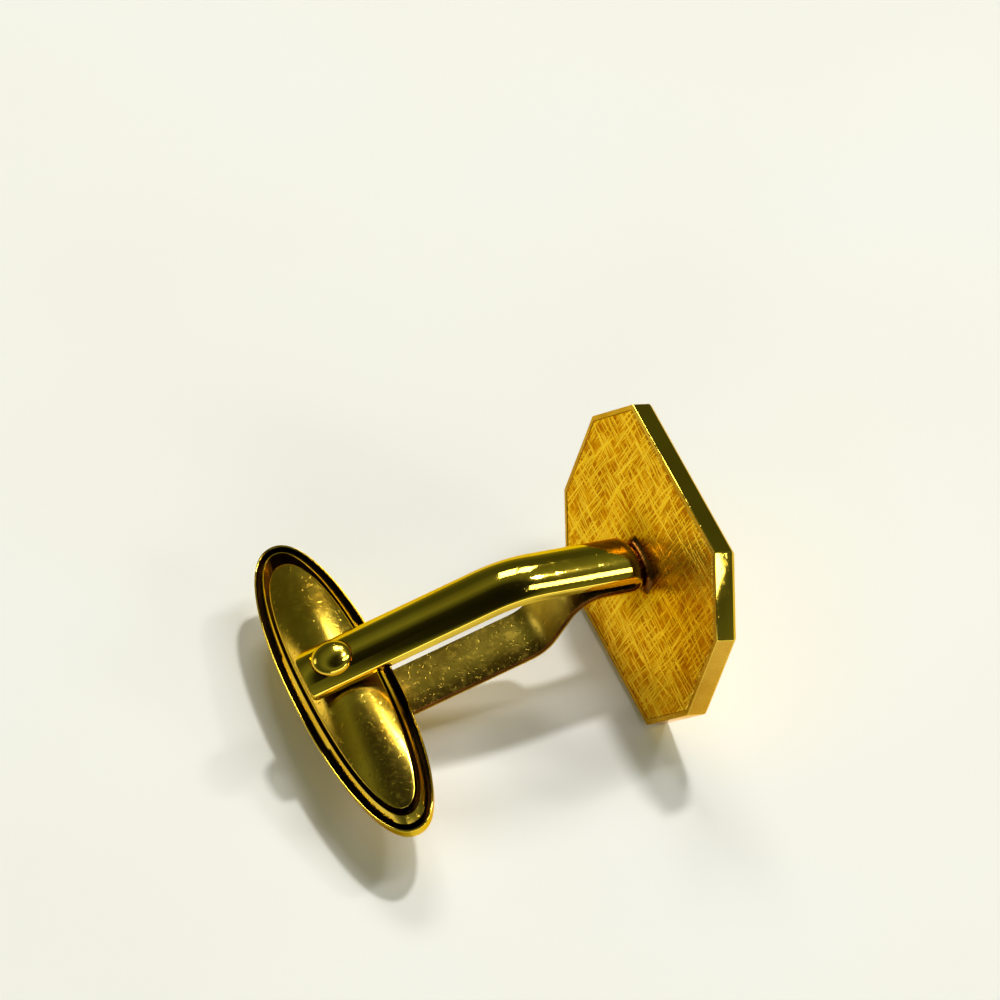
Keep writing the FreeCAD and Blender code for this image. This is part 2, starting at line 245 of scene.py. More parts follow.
def gold_plate(name, light, deep, roughness, waves, pits):
    """Gold plate with a clean and a marked roughness, and the depth of its waves and pits in millimetres."""
    material, tree, shader, place = new_material(name)
    shader.inputs["Specular Tint"].default_value = srgb("#FFDC8C")
    clouds = add_node(tree, "ShaderNodeTexNoise", inputs={
        "Vector": place, "Scale": per_mm(TONE_SIZE), "Detail": 3.0})
    colour = add_node(tree, "ShaderNodeValToRGB", inputs={"Fac": clouds.outputs["Fac"]},
                      stops=((0.35, deep), (0.65, light)))
    tree.links.new(colour.outputs["Color"], shader.inputs["Base Color"])

    clean, marked = roughness
    marks = add_node(tree, "ShaderNodeTexNoise", inputs={
        "Vector": place, "Scale": per_mm(MARK_SIZE), "Detail": 4.0, "Roughness": 0.65})
    dull = add_node(tree, "ShaderNodeMapRange", inputs={
        "Value": marks.outputs["Fac"], "From Min": 0.5, "From Max": 0.75, "To Min": clean, "To Max": marked})
    tree.links.new(dull.outputs["Result"], shader.inputs["Roughness"])

    swell = add_node(tree, "ShaderNodeTexNoise", inputs={
        "Vector": place, "Scale": per_mm(WAVE_SIZE), "Detail": 1.0})
    wavy = add_node(tree, "ShaderNodeBump", inputs={
        "Height": swell.outputs["Fac"], "Strength": 1.0, "Distance": waves * MM})
    specks = add_node(tree, "ShaderNodeTexNoise", inputs={
        "Vector": place, "Scale": per_mm(PIT_SIZE), "Detail": 2.0, "Roughness": 0.6})
    pitted = add_node(tree, "ShaderNodeMapRange", inputs={
        "Value": specks.outputs["Fac"], "From Min": 0.62, "From Max": 0.72, "To Min": 1.0, "To Max": 0.0})
    rough = add_node(tree, "ShaderNodeBump", inputs={
        "Height": pitted.outputs["Result"], "Strength": 1.0, "Distance": pits * MM,
        "Normal": wavy.outputs["Normal"]})
    tree.links.new(rough.outputs["Normal"], shader.inputs["Normal"])
    return material


# the hatched plate, in millimetres: a fine scratch's width and length, clouds of tone, grain and its depth,
# and the reach of the dark brown round the foot of the post, from its darkest middle to its outer edge
SCRATCH_SIZE = (0.1, 1.3)
GROUND_SIZE = 1.4
GRAIN_SIZE = 0.15
GRAIN_DEPTH = 0.015
DARKENING_REACH = (1.0, 3.0)


def hatched_plate_gold():
    """Florentine gold plate: burnished strokes painted paler as their glint, on a deeper satin ground, browner at
    the post's foot.
    """
    material, tree, shader, place = new_material("florentine_gold_plate")
    shader.inputs["Specular Tint"].default_value = srgb("#FFC850")
    plate = add_node(tree, "ShaderNodeAttribute", {"attribute_name": "plate"}).outputs["Vector"]
    cut = add_node(tree, "ShaderNodeAttribute", {"attribute_name": "cut"}).outputs["Fac"]
    for turn in STROKE_TURNS:
        along = add_node(tree, "ShaderNodeMapping", {"vector_type": "TEXTURE"}, {
            "Vector": plate, "Rotation": (0, 0, math.radians(turn)), "Scale": (*SCRATCH_SIZE, 1.0)})
        lines = add_node(tree, "ShaderNodeTexNoise", inputs={
            "Vector": along.outputs["Vector"], "Scale": 1.0, "Detail": 1.0})
        fine = add_node(tree, "ShaderNodeMapRange", inputs={
            "Value": lines.outputs["Fac"], "From Min": 0.5, "From Max": 0.66, "To Max": 0.75})
        cut = add_node(tree, "ShaderNodeMath", {"operation": "MAXIMUM"},
                       {0: cut, 1: fine.outputs["Result"]}).outputs["Value"]

    clouds = add_node(tree, "ShaderNodeTexNoise", inputs={
        "Vector": place, "Scale": per_mm(GROUND_SIZE), "Detail": 4.0})
    ground = add_node(tree, "ShaderNodeValToRGB", inputs={"Fac": clouds.outputs["Fac"]},
                      stops=((0.35, "#B26A0C"), (0.65, "#DC981C")))
    # strokes and fine scratches are painted a paler yellow than the ground: a painted glint
    colour = add_node(tree, "ShaderNodeMix", {"data_type": "RGBA"}, {
        "Factor": cut, "A": ground.outputs["Color"], "B": srgb("#FFD84A")})
    # the plate turns dark brown towards the foot of the post
    from_foot = add_node(tree, "ShaderNodeVectorMath", {"operation": "LENGTH"}, {"Vector": plate})
    darkening = add_node(tree, "ShaderNodeMapRange", inputs={
        "Value": from_foot.outputs["Value"], "From Min": DARKENING_REACH[0], "From Max": DARKENING_REACH[1],
        "To Min": 0.7, "To Max": 0.0})
    darkened = add_node(tree, "ShaderNodeMix", {"data_type": "RGBA"}, {
        "Factor": darkening.outputs["Result"], "A": colour.outputs["Result"], "B": srgb("#6A3408")})
    tree.links.new(darkened.outputs["Result"], shader.inputs["Base Color"])

    dull = add_node(tree, "ShaderNodeMapRange", inputs={"Value": cut, "To Min": 0.4, "To Max": 0.2})
    tree.links.new(dull.outputs["Result"], shader.inputs["Roughness"])
    grain = add_node(tree, "ShaderNodeTexNoise", inputs={
        "Vector": place, "Scale": per_mm(GRAIN_SIZE), "Detail": 3.0, "Roughness": 0.6})
    rough = add_node(tree, "ShaderNodeBump", inputs={
        "Height": grain.outputs["Fac"], "Strength": 1.0, "Distance": GRAIN_DEPTH * MM})
    tree.links.new(rough.outputs["Normal"], shader.inputs["Normal"])
    return material


def bare_metal(name, colour, roughness, grain):
    """Bare metal with a fine grain, in millimetres, that breaks its gloss."""
    material, tree, shader, place = new_material(name)
    shader.inputs["Base Color"].default_value = srgb(colour)
    lines = add_node(tree, "ShaderNodeTexNoise", inputs={
        "Vector": place, "Scale": per_mm(grain), "Detail": 3.0})
    dull = add_node(tree, "ShaderNodeMapRange", inputs={
        "Value": lines.outputs["Fac"], "To Min": roughness[0], "To Max": roughness[1]})
    tree.links.new(dull.outputs["Result"], shader.inputs["Roughness"])
    return material


# polished stampings: mirror bright, with the slight waver that hand polish leaves in reflections
polished_gold = gold_plate("polished_gold_plate", "#ECCC48", "#E2BE3E", (0.05, 0.1), 0.0025, 0.001)
# rivet head, burnished by its setting tool: small glints with soft edges
burnished_gold = gold_plate("burnished_gold_plate", "#ECCC48", "#E0B83C", (0.12, 0.2), 0.002, 0.002)
# dome, rubbed by cloth: a broad bright patch that breaks up into specks
rubbed_gold = gold_plate("rubbed_gold_plate", "#EAC848", "#DAAE36", (0.18, 0.28), 0.003, 0.005)
# ends and rim of the head, left from the file: an even pale sheen without reflections
satin_gold = gold_plate("satin_gold_plate", "#D9AC40", "#C08F2E", (0.26, 0.4), 0.004, 0.003)
# flat inside of the far prong, where the toggle and the cloth rub: dull olive, pitted
worn_gold = gold_plate("worn_gold_plate", "#D8B848", "#A88A30", (0.28, 0.5), 0.003, 0.012)
# edges of the far prong, where the plate is thin: a dark brown line
browned_edge = gold_plate("browned_gold_edge", "#8A5824", "#4A2A10", (0.25, 0.5), 0.0, 0.004)
# gilt over the solder: a dark reddish collar
solder_gold = gold_plate("dark_gilt_solder", "#A06A26", "#5A3412", (0.25, 0.5), 0.004, 0.004)
# painted shade: nearly black plate in the toggle's gutters and groove and under the near prong, dark lines between
# bright ribs
painted_shade_gold = gold_plate("painted_shade_gold_plate", "#38260F", "#1A1109", (0.3, 0.6), 0.0, 0.01)
# graver's work on the back of the head: warm gold that glitters in two directions, its strokes painted paler as
# glint
hatched_gold = hatched_plate_gold()
# sleeve on the rivet: yellow, with the faint grain of turning
turned_brass = bare_metal("turned_brass", "#C9A85C", (0.21, 0.39), 0.1)
# leaf inside the toggle: grey, with the fine grain of rolling
spring_steel = bare_metal("rolled_spring_steel", "#B4B4B6", (0.245, 0.455), 0.08)


# Mesh helpers


def close_ends(bm):
    """Fill every open end."""
    bmesh.ops.holes_fill(bm, edges=[e for e in bm.edges if e.is_boundary], sides=0)


def next_ring(bm, ring):
    """Extrude a ring of edges on the spot and return the new verts and the new ring."""
    made = bmesh.ops.extrude_edge_only(bm, edges=ring)["geom"]
    verts = {v for v in made if isinstance(v, bmesh.types.BMVert)}
    return list(verts), [e for e in made if isinstance(e, bmesh.types.BMEdge) and set(e.verts) <= verts]


def edges_above(bm, angle):
    """Edges between faces that turn by more than an angle in degrees."""
    return [e for e in bm.edges if len(e.link_faces) == 2 and e.calc_face_angle() > math.radians(angle)]


def quarter_turn(steps):
    """Cosine and sine of even steps over a quarter turn."""
    return [(max(0.0, math.cos(math.pi / 2 * i / steps)), math.sin(math.pi / 2 * i / steps))
            for i in range(steps + 1)]


def oval_shell(rings, power=PLAN_POWER):
    """Closed skin through level ovals: half width, half length, level and finish of the band up to it."""
    bm = bmesh.new()
    bmesh.ops.create_circle(bm, segments=OVAL_SEGMENTS, radius=1.0)
    for vert in bm.verts:
        vert.co /= (abs(vert.co.x) ** power + abs(vert.co.y) ** power) ** (1 / power)
    x, y, z, _ = rings[0]
    bmesh.ops.scale(bm, verts=bm.verts, vec=(x, y, 1))
    bmesh.ops.translate(bm, verts=bm.verts, vec=(0, 0, z))
    ring = bm.edges[:]
    for new_x, new_y, new_z, finish in rings[1:]:
        older = set(bm.faces)
        verts, ring = next_ring(bm, ring)
        for face in set(bm.faces) - older:
            face.material_index = finish
        bmesh.ops.scale(bm, verts=verts, vec=(new_x / x, new_y / y, 1))
        bmesh.ops.translate(bm, verts=verts, vec=(0, 0, new_z - z))
        x, y, z = new_x, new_y, new_z
    close_ends(bm)
    return bm


def placed(name, bm, axes, *materials, smooth_below=SMOOTH_BELOW):
    """Mesh object of a drawing, placed in the row frame."""
    bmesh.ops.remove_doubles(bm, verts=bm.verts, dist=MERGE_DISTANCE)
    bmesh.ops.recalc_face_normals(bm, faces=bm.faces)
    bmesh.ops.transform(bm, matrix=axes, verts=bm.verts)
    mesh = bpy.data.meshes.new(name)
    bm.to_mesh(mesh)
    bm.free()
    for material in materials:
        mesh.materials.append(material)
    mesh.shade_smooth()
    mesh.set_sharp_from_angle(angle=math.radians(smooth_below))
    piece = bpy.data.objects.new(name, mesh)
    bpy.context.scene.collection.objects.link(piece)
    return piece


def drilled(piece, radius, bottom, top):
    """Cut a round hole along the rivet, from one level to another."""
    bm = bmesh.new()
    bmesh.ops.create_cone(bm, cap_ends=True, segments=ROUND_SEGMENTS, radius1=radius, radius2=radius,
                          depth=top - bottom, matrix=Matrix.Translation((0, 0, (bottom + top) / 2)))
    drill = placed("drill", bm, LINK, piece.data.materials[0])
    hole = piece.modifiers.new("hole", "BOOLEAN")
    hole.object = drill
    hole.solver = "EXACT"
    cut = bpy.data.meshes.new_from_object(piece.evaluated_get(bpy.context.evaluated_depsgraph_get()))
    piece.modifiers.remove(hole)
    whole = piece.data
    piece.data = cut
    bpy.data.meshes.remove(whole)
    bpy.data.objects.remove(drill)
    cut.set_sharp_from_angle(angle=math.radians(SMOOTH_BELOW))
    return piece


# Head

# edges of the stamping that turn by more than this are rounded, in degrees
CORNER_ABOVE = 20.0
# place of the satin finish, after the polished one
SATIN = 1
# a face whose normal has more than this along the head is one of its two ends
END_FACING = 0.98


def octagon(inset=0.0):
    """Corners of the head's clipped outline, moved in from its edge."""
    ratio = CLIP_LONG / CLIP_SHORT
    clip_y = CLIP_LONG - inset * (1 + ratio - math.hypot(1, ratio))
    clip_x = CLIP_SHORT - inset * (1 + 1 / ratio - math.hypot(1, 1 / ratio))
    x, y = HEAD_WIDTH / 2 - inset, HEAD_LENGTH / 2 - inset
    quarter = [(x, y - clip_y), (x - clip_x, y)]
    half = quarter + [(-a, b) for a, b in reversed(quarter)]
    return half + [(-a, -b) for a, b in half]


def octagon_ring(bm, inset=0.0):
    """Ring of edges along the head's outline, level with its back."""
    verts = [bm.verts.new((x, y, 0)) for x, y in octagon(inset)]
    return [bm.edges.new(pair) for pair in zip(verts, verts[1:] + verts[:1])]


def make_head_tray():
    """Front plate and walls of the head, with a recess for the back plate and worn edges."""
    bm = bmesh.new()
    mouth = octagon_ring(bm, RIM_WIDTH)
    floor_verts, _ = next_ring(bm, mouth)
    bmesh.ops.translate(bm, verts=floor_verts, vec=(0, 0, PLATE_THICKNESS))
    rim = octagon_ring(bm)
    bmesh.ops.bridge_loops(bm, edges=mouth + rim)
    front_verts, front_edges = next_ring(bm, rim)
    bmesh.ops.translate(bm, verts=front_verts, vec=(0, 0, HEAD_THICKNESS))
    close_ends(bm)
    bmesh.ops.bevel(bm, geom=front_edges, offset=FRONT_BEVEL, offset_type="OFFSET", segments=1, profile=0.5,
                    affect="EDGES", material=-1)
    corners = [e for e in edges_above(bm, CORNER_ABOVE) if max(v.co.z for v in e.verts) != PLATE_THICKNESS]
    bmesh.ops.bevel(bm, geom=corners, offset=EDGE_ROUND, offset_type="OFFSET", segments=3, profile=0.5,
                    affect="EDGES", material=-1)
    bm.normal_update()
    for face in bm.faces:
        if abs(face.normal.y) > END_FACING or face.calc_center_median().z < EDGE_ROUND / 2:
            face.material_index = SATIN
    return placed("head_tray", bm, HEAD, polished_gold, satin_gold, smooth_below=FACETS_SMOOTH_BELOW)


def stroke_depth(points):
    """Depth of the deepest graver stroke at each point of the plate."""
    rng = random.Random(HATCH_SEED)
    depth = np.zeros(len(points))
    for turn in STROKE_TURNS:
        for _ in range(STROKES):
            angle = math.radians(90 + turn + rng.gauss(0, STROKE_SPREAD))
            middle = np.array([rng.uniform(-0.5, 0.5) * HEAD_WIDTH, rng.uniform(-0.5, 0.5) * HEAD_LENGTH])
            half_length = rng.uniform(*STROKE_LENGTH) / 2
            half_width = rng.uniform(*STROKE_HALF_WIDTH)
            deepest = rng.uniform(*STROKE_DEPTH)
            reach = points - middle
            run = np.abs(reach @ np.array([math.cos(angle), math.sin(angle)]))
            off = np.abs(reach @ np.array([-math.sin(angle), math.cos(angle)]))
            groove = np.clip(1 - off / half_width, 0, 1) * np.clip((half_length - run) / STROKE_TAPER, 0, 1)
            depth = np.maximum(depth, deepest * groove)
    return depth


def make_hatched_plate():
    """Back plate with the graver's strokes cut into it, rounded down to the seam at its border."""
    outline = octagon(RIM_WIDTH + SEAM)
    width = 2 * max(x for x, _ in outline)
    length = 2 * max(y for _, y in outline)
    bm = bmesh.new()
    bmesh.ops.create_grid(bm, x_segments=round(width / HATCH_CELL), y_segments=round(length / HATCH_CELL),
                          size=0.5, matrix=Matrix.Diagonal((width, length, 1, 1)))
    sides = []
    for (ax, ay), (bx, by) in zip(outline, outline[1:] + outline[:1]):
        out = Vector((by - ay, ax - bx, 0)).normalized()
        sides.append((out.x, out.y, out.x * ax + out.y * ay))
        is_clip = abs(out.x * out.y) > ON_PLANE
        if is_clip:
            bmesh.ops.bisect_plane(bm, geom=bm.verts[:] + bm.edges[:] + bm.faces[:], plane_co=(ax, ay, 0),
                                   plane_no=out, clear_outer=True)

    # the material reads how deep a point is cut and where it lies on the plate
    cut = bm.verts.layers.float.new("cut")
    plate = bm.verts.layers.float_vector.new("plate")
    points = np.array([v.co.xy for v in bm.verts])
    from_edge = np.min([far - points @ np.array([nx, ny]) for nx, ny, far in sides], axis=0)
    border = BORDER_DROP * np.clip(1 - from_edge / BORDER_WIDTH, 0, 1) ** 2
    for vert, depth, drop in zip(bm.verts, stroke_depth(points), border):
        vert[plate] = vert.co
        vert.co.z = depth + drop
        vert[cut] = min(1.0, depth / STROKE_DEPTH[0])
    underside, _ = next_ring(bm, [e for e in bm.edges if e.is_boundary])
    for vert in underside:
        vert.co.z = PLATE_THICKNESS
    close_ends(bm)
    return placed("hatched_plate", bm, HEAD, hatched_gold, smooth_below=PLATE_SMOOTH_BELOW)


def make_solder_bead():
    """Hollow fillet of solder from the foot of the post out to the plate, slightly uneven."""
    half_x = NECK_SLIT / 2 + PRONG_THICKNESS * SOLDER_GRIP
    half_y = PRONG_WIDTH / 2 - SOLDER_SUNK
    rings = []
    steps = 16
    for i in range(steps + 1):
        flare = (SOLDER_FLARE + SOLDER_SUNK) * (i / steps) ** 2
        level = SOLDER_SUNK - (SOLDER_HEIGHT + SOLDER_SUNK) * (1 - i / steps)
        rings.append((half_x + flare, half_y + flare, level, 0))
    bm = oval_shell(rings, SOLDER_POWER)
    for vert in bm.verts:
        uneven = 1 + SOLDER_UNEVEN * noise.noise(vert.co * SOLDER_LUMPS_PER_MM)
        vert.co.x *= uneven
        vert.co.y *= uneven
    return placed("solder_bead", bm, HEAD, solder_gold)


# Post

# places of the post's finishes after the polished one: worn plate, nearly black painted shade, browned edges
WORN, PAINTED_SHADE, BROWNED = 1, 2, 3
# a vert of the strip's flat side carries a mark of 1
MARKED = 0.99
# a face whose normal has more than this across the strip is one of its two edges
EDGE_FACING = 0.9
# cut edges that turn by more than this are rounded, in degrees
CUT_ABOVE = 40.0


def heading(angle):
    """Direction in the fork's plane, in degrees above its axis, as (x, z)."""
    return Vector((math.cos(math.radians(angle)), math.sin(math.radians(angle))))


def crossing(p, along_p, q, along_q):
    """Point where two lines of the fork's plane cross."""
    gap = q - p
    return p + along_p * (gap.cross(along_q) / along_p.cross(along_q))


def strip_section(bm, x):
    """Ring of edges of the D-section at the near prong: flat inside, crowned outside, corners rounded."""
    half, flat = PRONG_WIDTH / 2, FORK_GAP / 2
    slope = math.radians(PRONG_SLOPE)
    radius = (half - PRONG_CORNER * (1 - math.sin(slope))) / math.sin(slope)
    crown_middle = flat + PRONG_THICKNESS - radius
    corner_middle = crown_middle + (radius - PRONG_CORNER) * math.cos(slope)
    side = [(-half, flat)]
    corner_steps = 6
    for i in range(corner_steps + 1):
        a = (math.pi / 2 - slope) * i / corner_steps
        side.append((PRONG_CORNER * (1 - math.cos(a)) - half, corner_middle + PRONG_CORNER * math.sin(a)))
    crown_steps = 12
    for i in range(1, crown_steps):
        a = slope * (1 - i / crown_steps)
        side.append((-radius * math.sin(a), crown_middle + radius * math.cos(a)))
    outline = side + [(0, flat + PRONG_THICKNESS)] + [(-y, z) for y, z in reversed(side)]
    inside = bm.verts.layers.float.new("inside")
    verts = [bm.verts.new((x, y, z)) for y, z in outline]
    for vert in (verts[0], verts[-1]):
        vert[inside] = 1.0
    return [bm.edges.new(pair) for pair in zip(verts, verts[1:] + verts[:1])]


def straight(bm, ring, way):
    """Extrude the strip along a straight run."""
    verts, ring = next_ring(bm, ring)
    bmesh.ops.translate(bm, verts=verts, vec=(way.x, 0, way.y))
    return ring


def bent(bm, ring, centre, turn):
    """Spin the strip round a bend, in radians from the fork's axis towards the rivet's head."""
    steps = max(FEWEST_BEND_STEPS, round(abs(turn) / math.radians(BEND_STEP)))
    made = bmesh.ops.spin(bm, geom=ring, cent=(centre.x, 0, centre.y), axis=(0, -1, 0), angle=turn,
                          steps=steps)
    return [e for e in made["geom_last"] if isinstance(e, bmesh.types.BMEdge)]


def run_strip(bm, ring, corners, radii):
    """Draw the strip along straight runs with a bend at each inner corner."""
    start = corners[0]
    for before, corner, after, radius in zip(corners, corners[1:], corners[2:], radii):
        way_in, way_out = (corner - before).normalized(), (after - corner).normalized()
        turn = math.atan2(way_in.cross(way_out), way_in.dot(way_out))
        reach = radius * math.tan(abs(turn) / 2)
        ring = straight(bm, ring, corner - way_in * reach - start)
        side = math.copysign(radius, turn)
        centre = corner - way_in * reach + Vector((-way_in.y, way_in.x)) * side
        ring = bent(bm, ring, centre, turn)
        start = corner + way_out * reach
    return straight(bm, ring, corners[-1] - start)


def bend_hairpin(bm):
    """Near prong, neck, turn on the head, neck, ramp and far prong, along one strip."""
    half_gap, half_slit = FORK_GAP / 2, NECK_SLIT / 2
    seat = Vector((POST_REACH, -POST_DROP))
    neck, side = heading(-NECK_BEND), heading(90 - NECK_BEND)
    turn_centre = seat - heading(-HEAD_TILT) * (half_slit + PRONG_THICKNESS)
    near_turn, far_turn = turn_centre + side * half_slit, turn_centre - side * half_slit
    # both ends are too long here, and trimmed later
    start_x = -2 * PRONG_PAST_PIN
    near_start, far_start = Vector((start_x, half_gap)), Vector((start_x, -half_gap))
    near_corner = crossing(near_start, heading(0), near_turn, neck)
    ramp_corner = Vector((POST_REACH - RAMP_START, -half_gap))
    crest_corner = crossing(ramp_corner, heading(RAMP_SLOPE), far_turn, neck)

    ring = strip_section(bm, start_x)
    ring = run_strip(bm, ring, [near_start, near_corner, near_turn], [NEAR_BEND_RADIUS])
    ring = bent(bm, ring, turn_centre, -math.pi)
    run_strip(bm, ring, [far_turn, crest_corner, ramp_corner, far_start], [CREST_RADIUS, RAMP_RADIUS])
    close_ends(bm)


def round_prong_ends(bm):
    """Trim both prongs to length, with one corner well rounded and one slightly."""
    steps = 8
    for side, radius in ((1, END_ROUND_BACK), (-1, END_ROUND_FRONT)):
        centre = Vector((radius - PRONG_PAST_PIN, side * (PRONG_WIDTH / 2 - radius), 0))
        for i in range(steps):
            angle = math.pi / 2 * i / steps
            out = Vector((-math.cos(angle), side * math.sin(angle), 0))
            bmesh.ops.bisect_plane(bm, geom=bm.verts[:] + bm.edges[:] + bm.faces[:], dist=ON_PLANE,
                                   plane_co=centre + out * radius, plane_no=out, clear_outer=True)
            close_ends(bm)


def wear_strip(bm):
    """Finish of the flat sides, worn where they face up and painted nearly black as shade where they face down,
    and of the edges below.
    """
    inside = bm.verts.layers.float["inside"]
    bmesh.ops.recalc_face_normals(bm, faces=bm.faces)
    for face in bm.faces:
        flat_levels = [v.co.z for v in face.verts if v[inside] > MARKED]
        if len(flat_levels) == len(face.verts):
            # flat sides that face down, as under the near prong, are painted nearly black as shade
            face.material_index = PAINTED_SHADE if face.normal.z < 0 else WORN
        elif flat_levels and abs(face.normal.y) > EDGE_FACING:
            if face.calc_center_median().z < sum(flat_levels) / len(flat_levels):
                face.material_index = BROWNED


def make_hairpin_post():
    """One strip bent into a hairpin, with rounded prong ends, worn and shade-painted sides and seats for the
    rivet.
    """
    bm = bmesh.new()
    bend_hairpin(bm)
    round_prong_ends(bm)
    wear_strip(bm)
    bmesh.ops.bevel(bm, geom=edges_above(bm, CUT_ABOVE), offset=EDGE_ROUND, offset_type="OFFSET", segments=2,
                    profile=0.5, affect="EDGES", material=-1, clamp_overlap=True)
    post = placed("hairpin_post", bm, LINK, polished_gold, worn_gold, painted_shade_gold, browned_edge)
    beyond = FORK_GAP
    drilled(post, RIVET_SHANK / 2, -beyond, beyond)
    drilled(post, RIVET_HEAD / 2 + RIVET_SEAT_MARGIN, RIVET_SEAT, beyond)
    return drilled(post, RIVET_TAIL / 2 + RIVET_SEAT_MARGIN, -beyond, -RIVET_SEAT)


def make_domed_rivet():
    """Rivet with a domed head, a thin rim under it and a peened tail."""
    turns = quarter_turn(steps=24)
    dome_height = RIVET_HEAD_HEIGHT - RIVET_HEAD_RIM
    head = [(RIVET_HEAD / 2 * c, RIVET_SEAT + RIVET_HEAD_RIM + dome_height * s) for c, s in reversed(turns)]
    shank = [(RIVET_HEAD / 2 - RIVET_HEAD_RIM, RIVET_SEAT), (RIVET_SHANK / 2, RIVET_SEAT),
             (RIVET_SHANK / 2, -RIVET_SEAT)]
    tail = [(RIVET_TAIL / 2 * c, -RIVET_SEAT - RIVET_TAIL_HEIGHT * s) for c, s in turns]
    bm = bmesh.new()
    verts = [bm.verts.new((r, 0, z)) for r, z in head + shank + tail]
    profile = [bm.edges.new(pair) for pair in zip(verts, verts[1:])]
    bmesh.ops.spin(bm, geom=verts + profile, cent=(0, 0, 0), axis=(0, 0, 1), angle=2 * math.pi,
                   steps=ROUND_SEGMENTS, use_merge=True)
    return placed("domed_rivet", bm, LINK, burnished_gold)


# Toggle

# places of the toggle's finishes: bright plate, and nearly black plate painted as shade in its gutters and groove
BRIGHT, DARK = 0, 1
# the dome's plan with a hair's breadth to spare, as a share of its outline
ON_DOME = 1.001


def oval(inset, level, finish=BRIGHT):
    """Ring of the toggle's outline, moved in from its edge."""
    return TOGGLE_WIDTH / 2 - inset, TOGGLE_LENGTH / 2 - inset * END_SPREAD, level, finish


def hull_rings(inset, level, depth, finish):
    """Rings from a hull's border down to its lowest point."""
    x, y, _, _ = oval(inset, level)
    return [(x * c ** HULL_FULLNESS + POLE_RADIUS, y * c ** HULL_FULLNESS + POLE_RADIUS,
             level - depth * s ** HULL_FULLNESS, finish) for c, s in quarter_turn(steps=36)]


def edge_rings():
    """Rings over the rounded top of the pan's edge, from its outer to its inner side."""
    outer = [(PAN_EDGE_ROUND * (1 - c), PAN_EDGE_LEVEL - PAN_EDGE_ROUND * (1 - s))
             for c, s in quarter_turn(steps=4)]
    inner = [(PAN_EDGE - inset, level) for inset, level in reversed(outer)]
    return [oval(inset, level) for inset, level in outer + inner]


def make_boat_pan():
    """Outer shell of the toggle: hull, thin upright edge and the floor of the gutter inside it."""
    inner_border = PAN_EDGE + GUTTER + HULL_WALL / 2
    rings = list(reversed(hull_rings(PAN_OVERHANG, HULL_LEVEL, HULL_LEVEL + TOGGLE_REACH, BRIGHT)))
    rings += edge_rings()
    # the inside of the pan's edge and the gutter's floor are painted nearly black, as shade
    rings += [oval(PAN_EDGE, GUTTER_LEVEL, DARK)]
    rings += hull_rings(inner_border, GUTTER_LEVEL, GUTTER_LEVEL + TOGGLE_REACH - HULL_WALL, DARK)
    pan = placed("boat_pan", oval_shell(rings), LINK, polished_gold, painted_shade_gold)
    return drilled(pan, PIVOT_HOLE_RADIUS, -FORK_GAP / 2, -FORK_GAP / 4)


def crown_rings(half_x, half_y, top):
    """Rings from a crown's border up to its middle."""
    steps = 30
    return [(half_x * i / steps + POLE_RADIUS, half_y * i / steps + POLE_RADIUS,
             top - CROWN_DROP * (i / steps) ** 2, BRIGHT) for i in range(steps, -1, -1)]


def shoulder_rings(half_x, half_y, wall_top):
    """Rings over the round between the dome's wall and its crown."""
    rings = []
    for angle in SHOULDER_RINGS:
        inset = CROWN_SHOULDER * (1 - math.cos(math.radians(angle)))
        rise = CROWN_SHOULDER * math.sin(math.radians(angle))
        rings.append((half_x - inset, half_y - inset, wall_top + rise, BRIGHT))
    return rings


def make_toggle_cover():
    """Cover set in the pan: a raised bead, a groove and the dome inside it."""
    bead_out = PAN_EDGE + GUTTER
    bead_in = bead_out + BEAD_WIDTH
    half_x, half_y = TOGGLE_WIDTH / 2 - bead_in - GROOVE, DOME_LENGTH / 2
    crown_inset = CROWN_SHOULDER * (1 - math.cos(math.radians(SHOULDER_TURN)))
    wall_top = TOGGLE_REACH - CROWN_DROP - CROWN_SHOULDER * math.sin(math.radians(SHOULDER_TURN))

    rings = list(reversed(crown_rings(half_x - DOME_WALL, half_y - DOME_WALL, TOGGLE_REACH - DOME_WALL)))
    # the dome's wall, the gutter and the groove are painted nearly black, as shade
    rings += [(half_x - DOME_WALL, half_y - DOME_WALL, GUTTER_LEVEL, DARK)]
    rings += [oval(bead_out, GUTTER_LEVEL, DARK), oval(bead_out, BEAD_SHOULDER, DARK)]
    rings += [oval(bead_in - 2 * BEAD_ROUND, BEAD_LEVEL - BEAD_ROUND)]
    rings += [oval(bead_in - BEAD_ROUND, BEAD_LEVEL), oval(bead_in, BEAD_LEVEL - BEAD_ROUND)]
    rings += [oval(bead_in, GROOVE_LEVEL)]
    rings += [(half_x, half_y, GROOVE_LEVEL, DARK), (half_x, half_y, wall_top, DARK)]
    rings += shoulder_rings(half_x, half_y, wall_top)
    rings += crown_rings(half_x - crown_inset, half_y - crown_inset, TOGGLE_REACH)
    bm = oval_shell(rings)
    for vert in bm.verts:
        within = (abs(vert.co.x) / half_x) ** PLAN_POWER + (abs(vert.co.y) / half_y) ** PLAN_POWER
        if within < ON_DOME and vert.co.z > GROOVE_LEVEL:
            fall = CROWN_END_FALL * (vert.co.y / half_y) ** 2
            vert.co.z -= (vert.co.z - GROOVE_LEVEL) * fall
    cover = placed("toggle_cover", bm, LINK, rubbed_gold, painted_shade_gold)
    return drilled(cover, PIVOT_HOLE_RADIUS, FORK_GAP / 4, FORK_GAP / 2)


# Assembly: each piece stands for a CAD node and moves with its body


def stand_in(piece, node, body):
    """Let a piece stand for a CAD node and move with its body."""
    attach(piece, body)
    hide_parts(node)


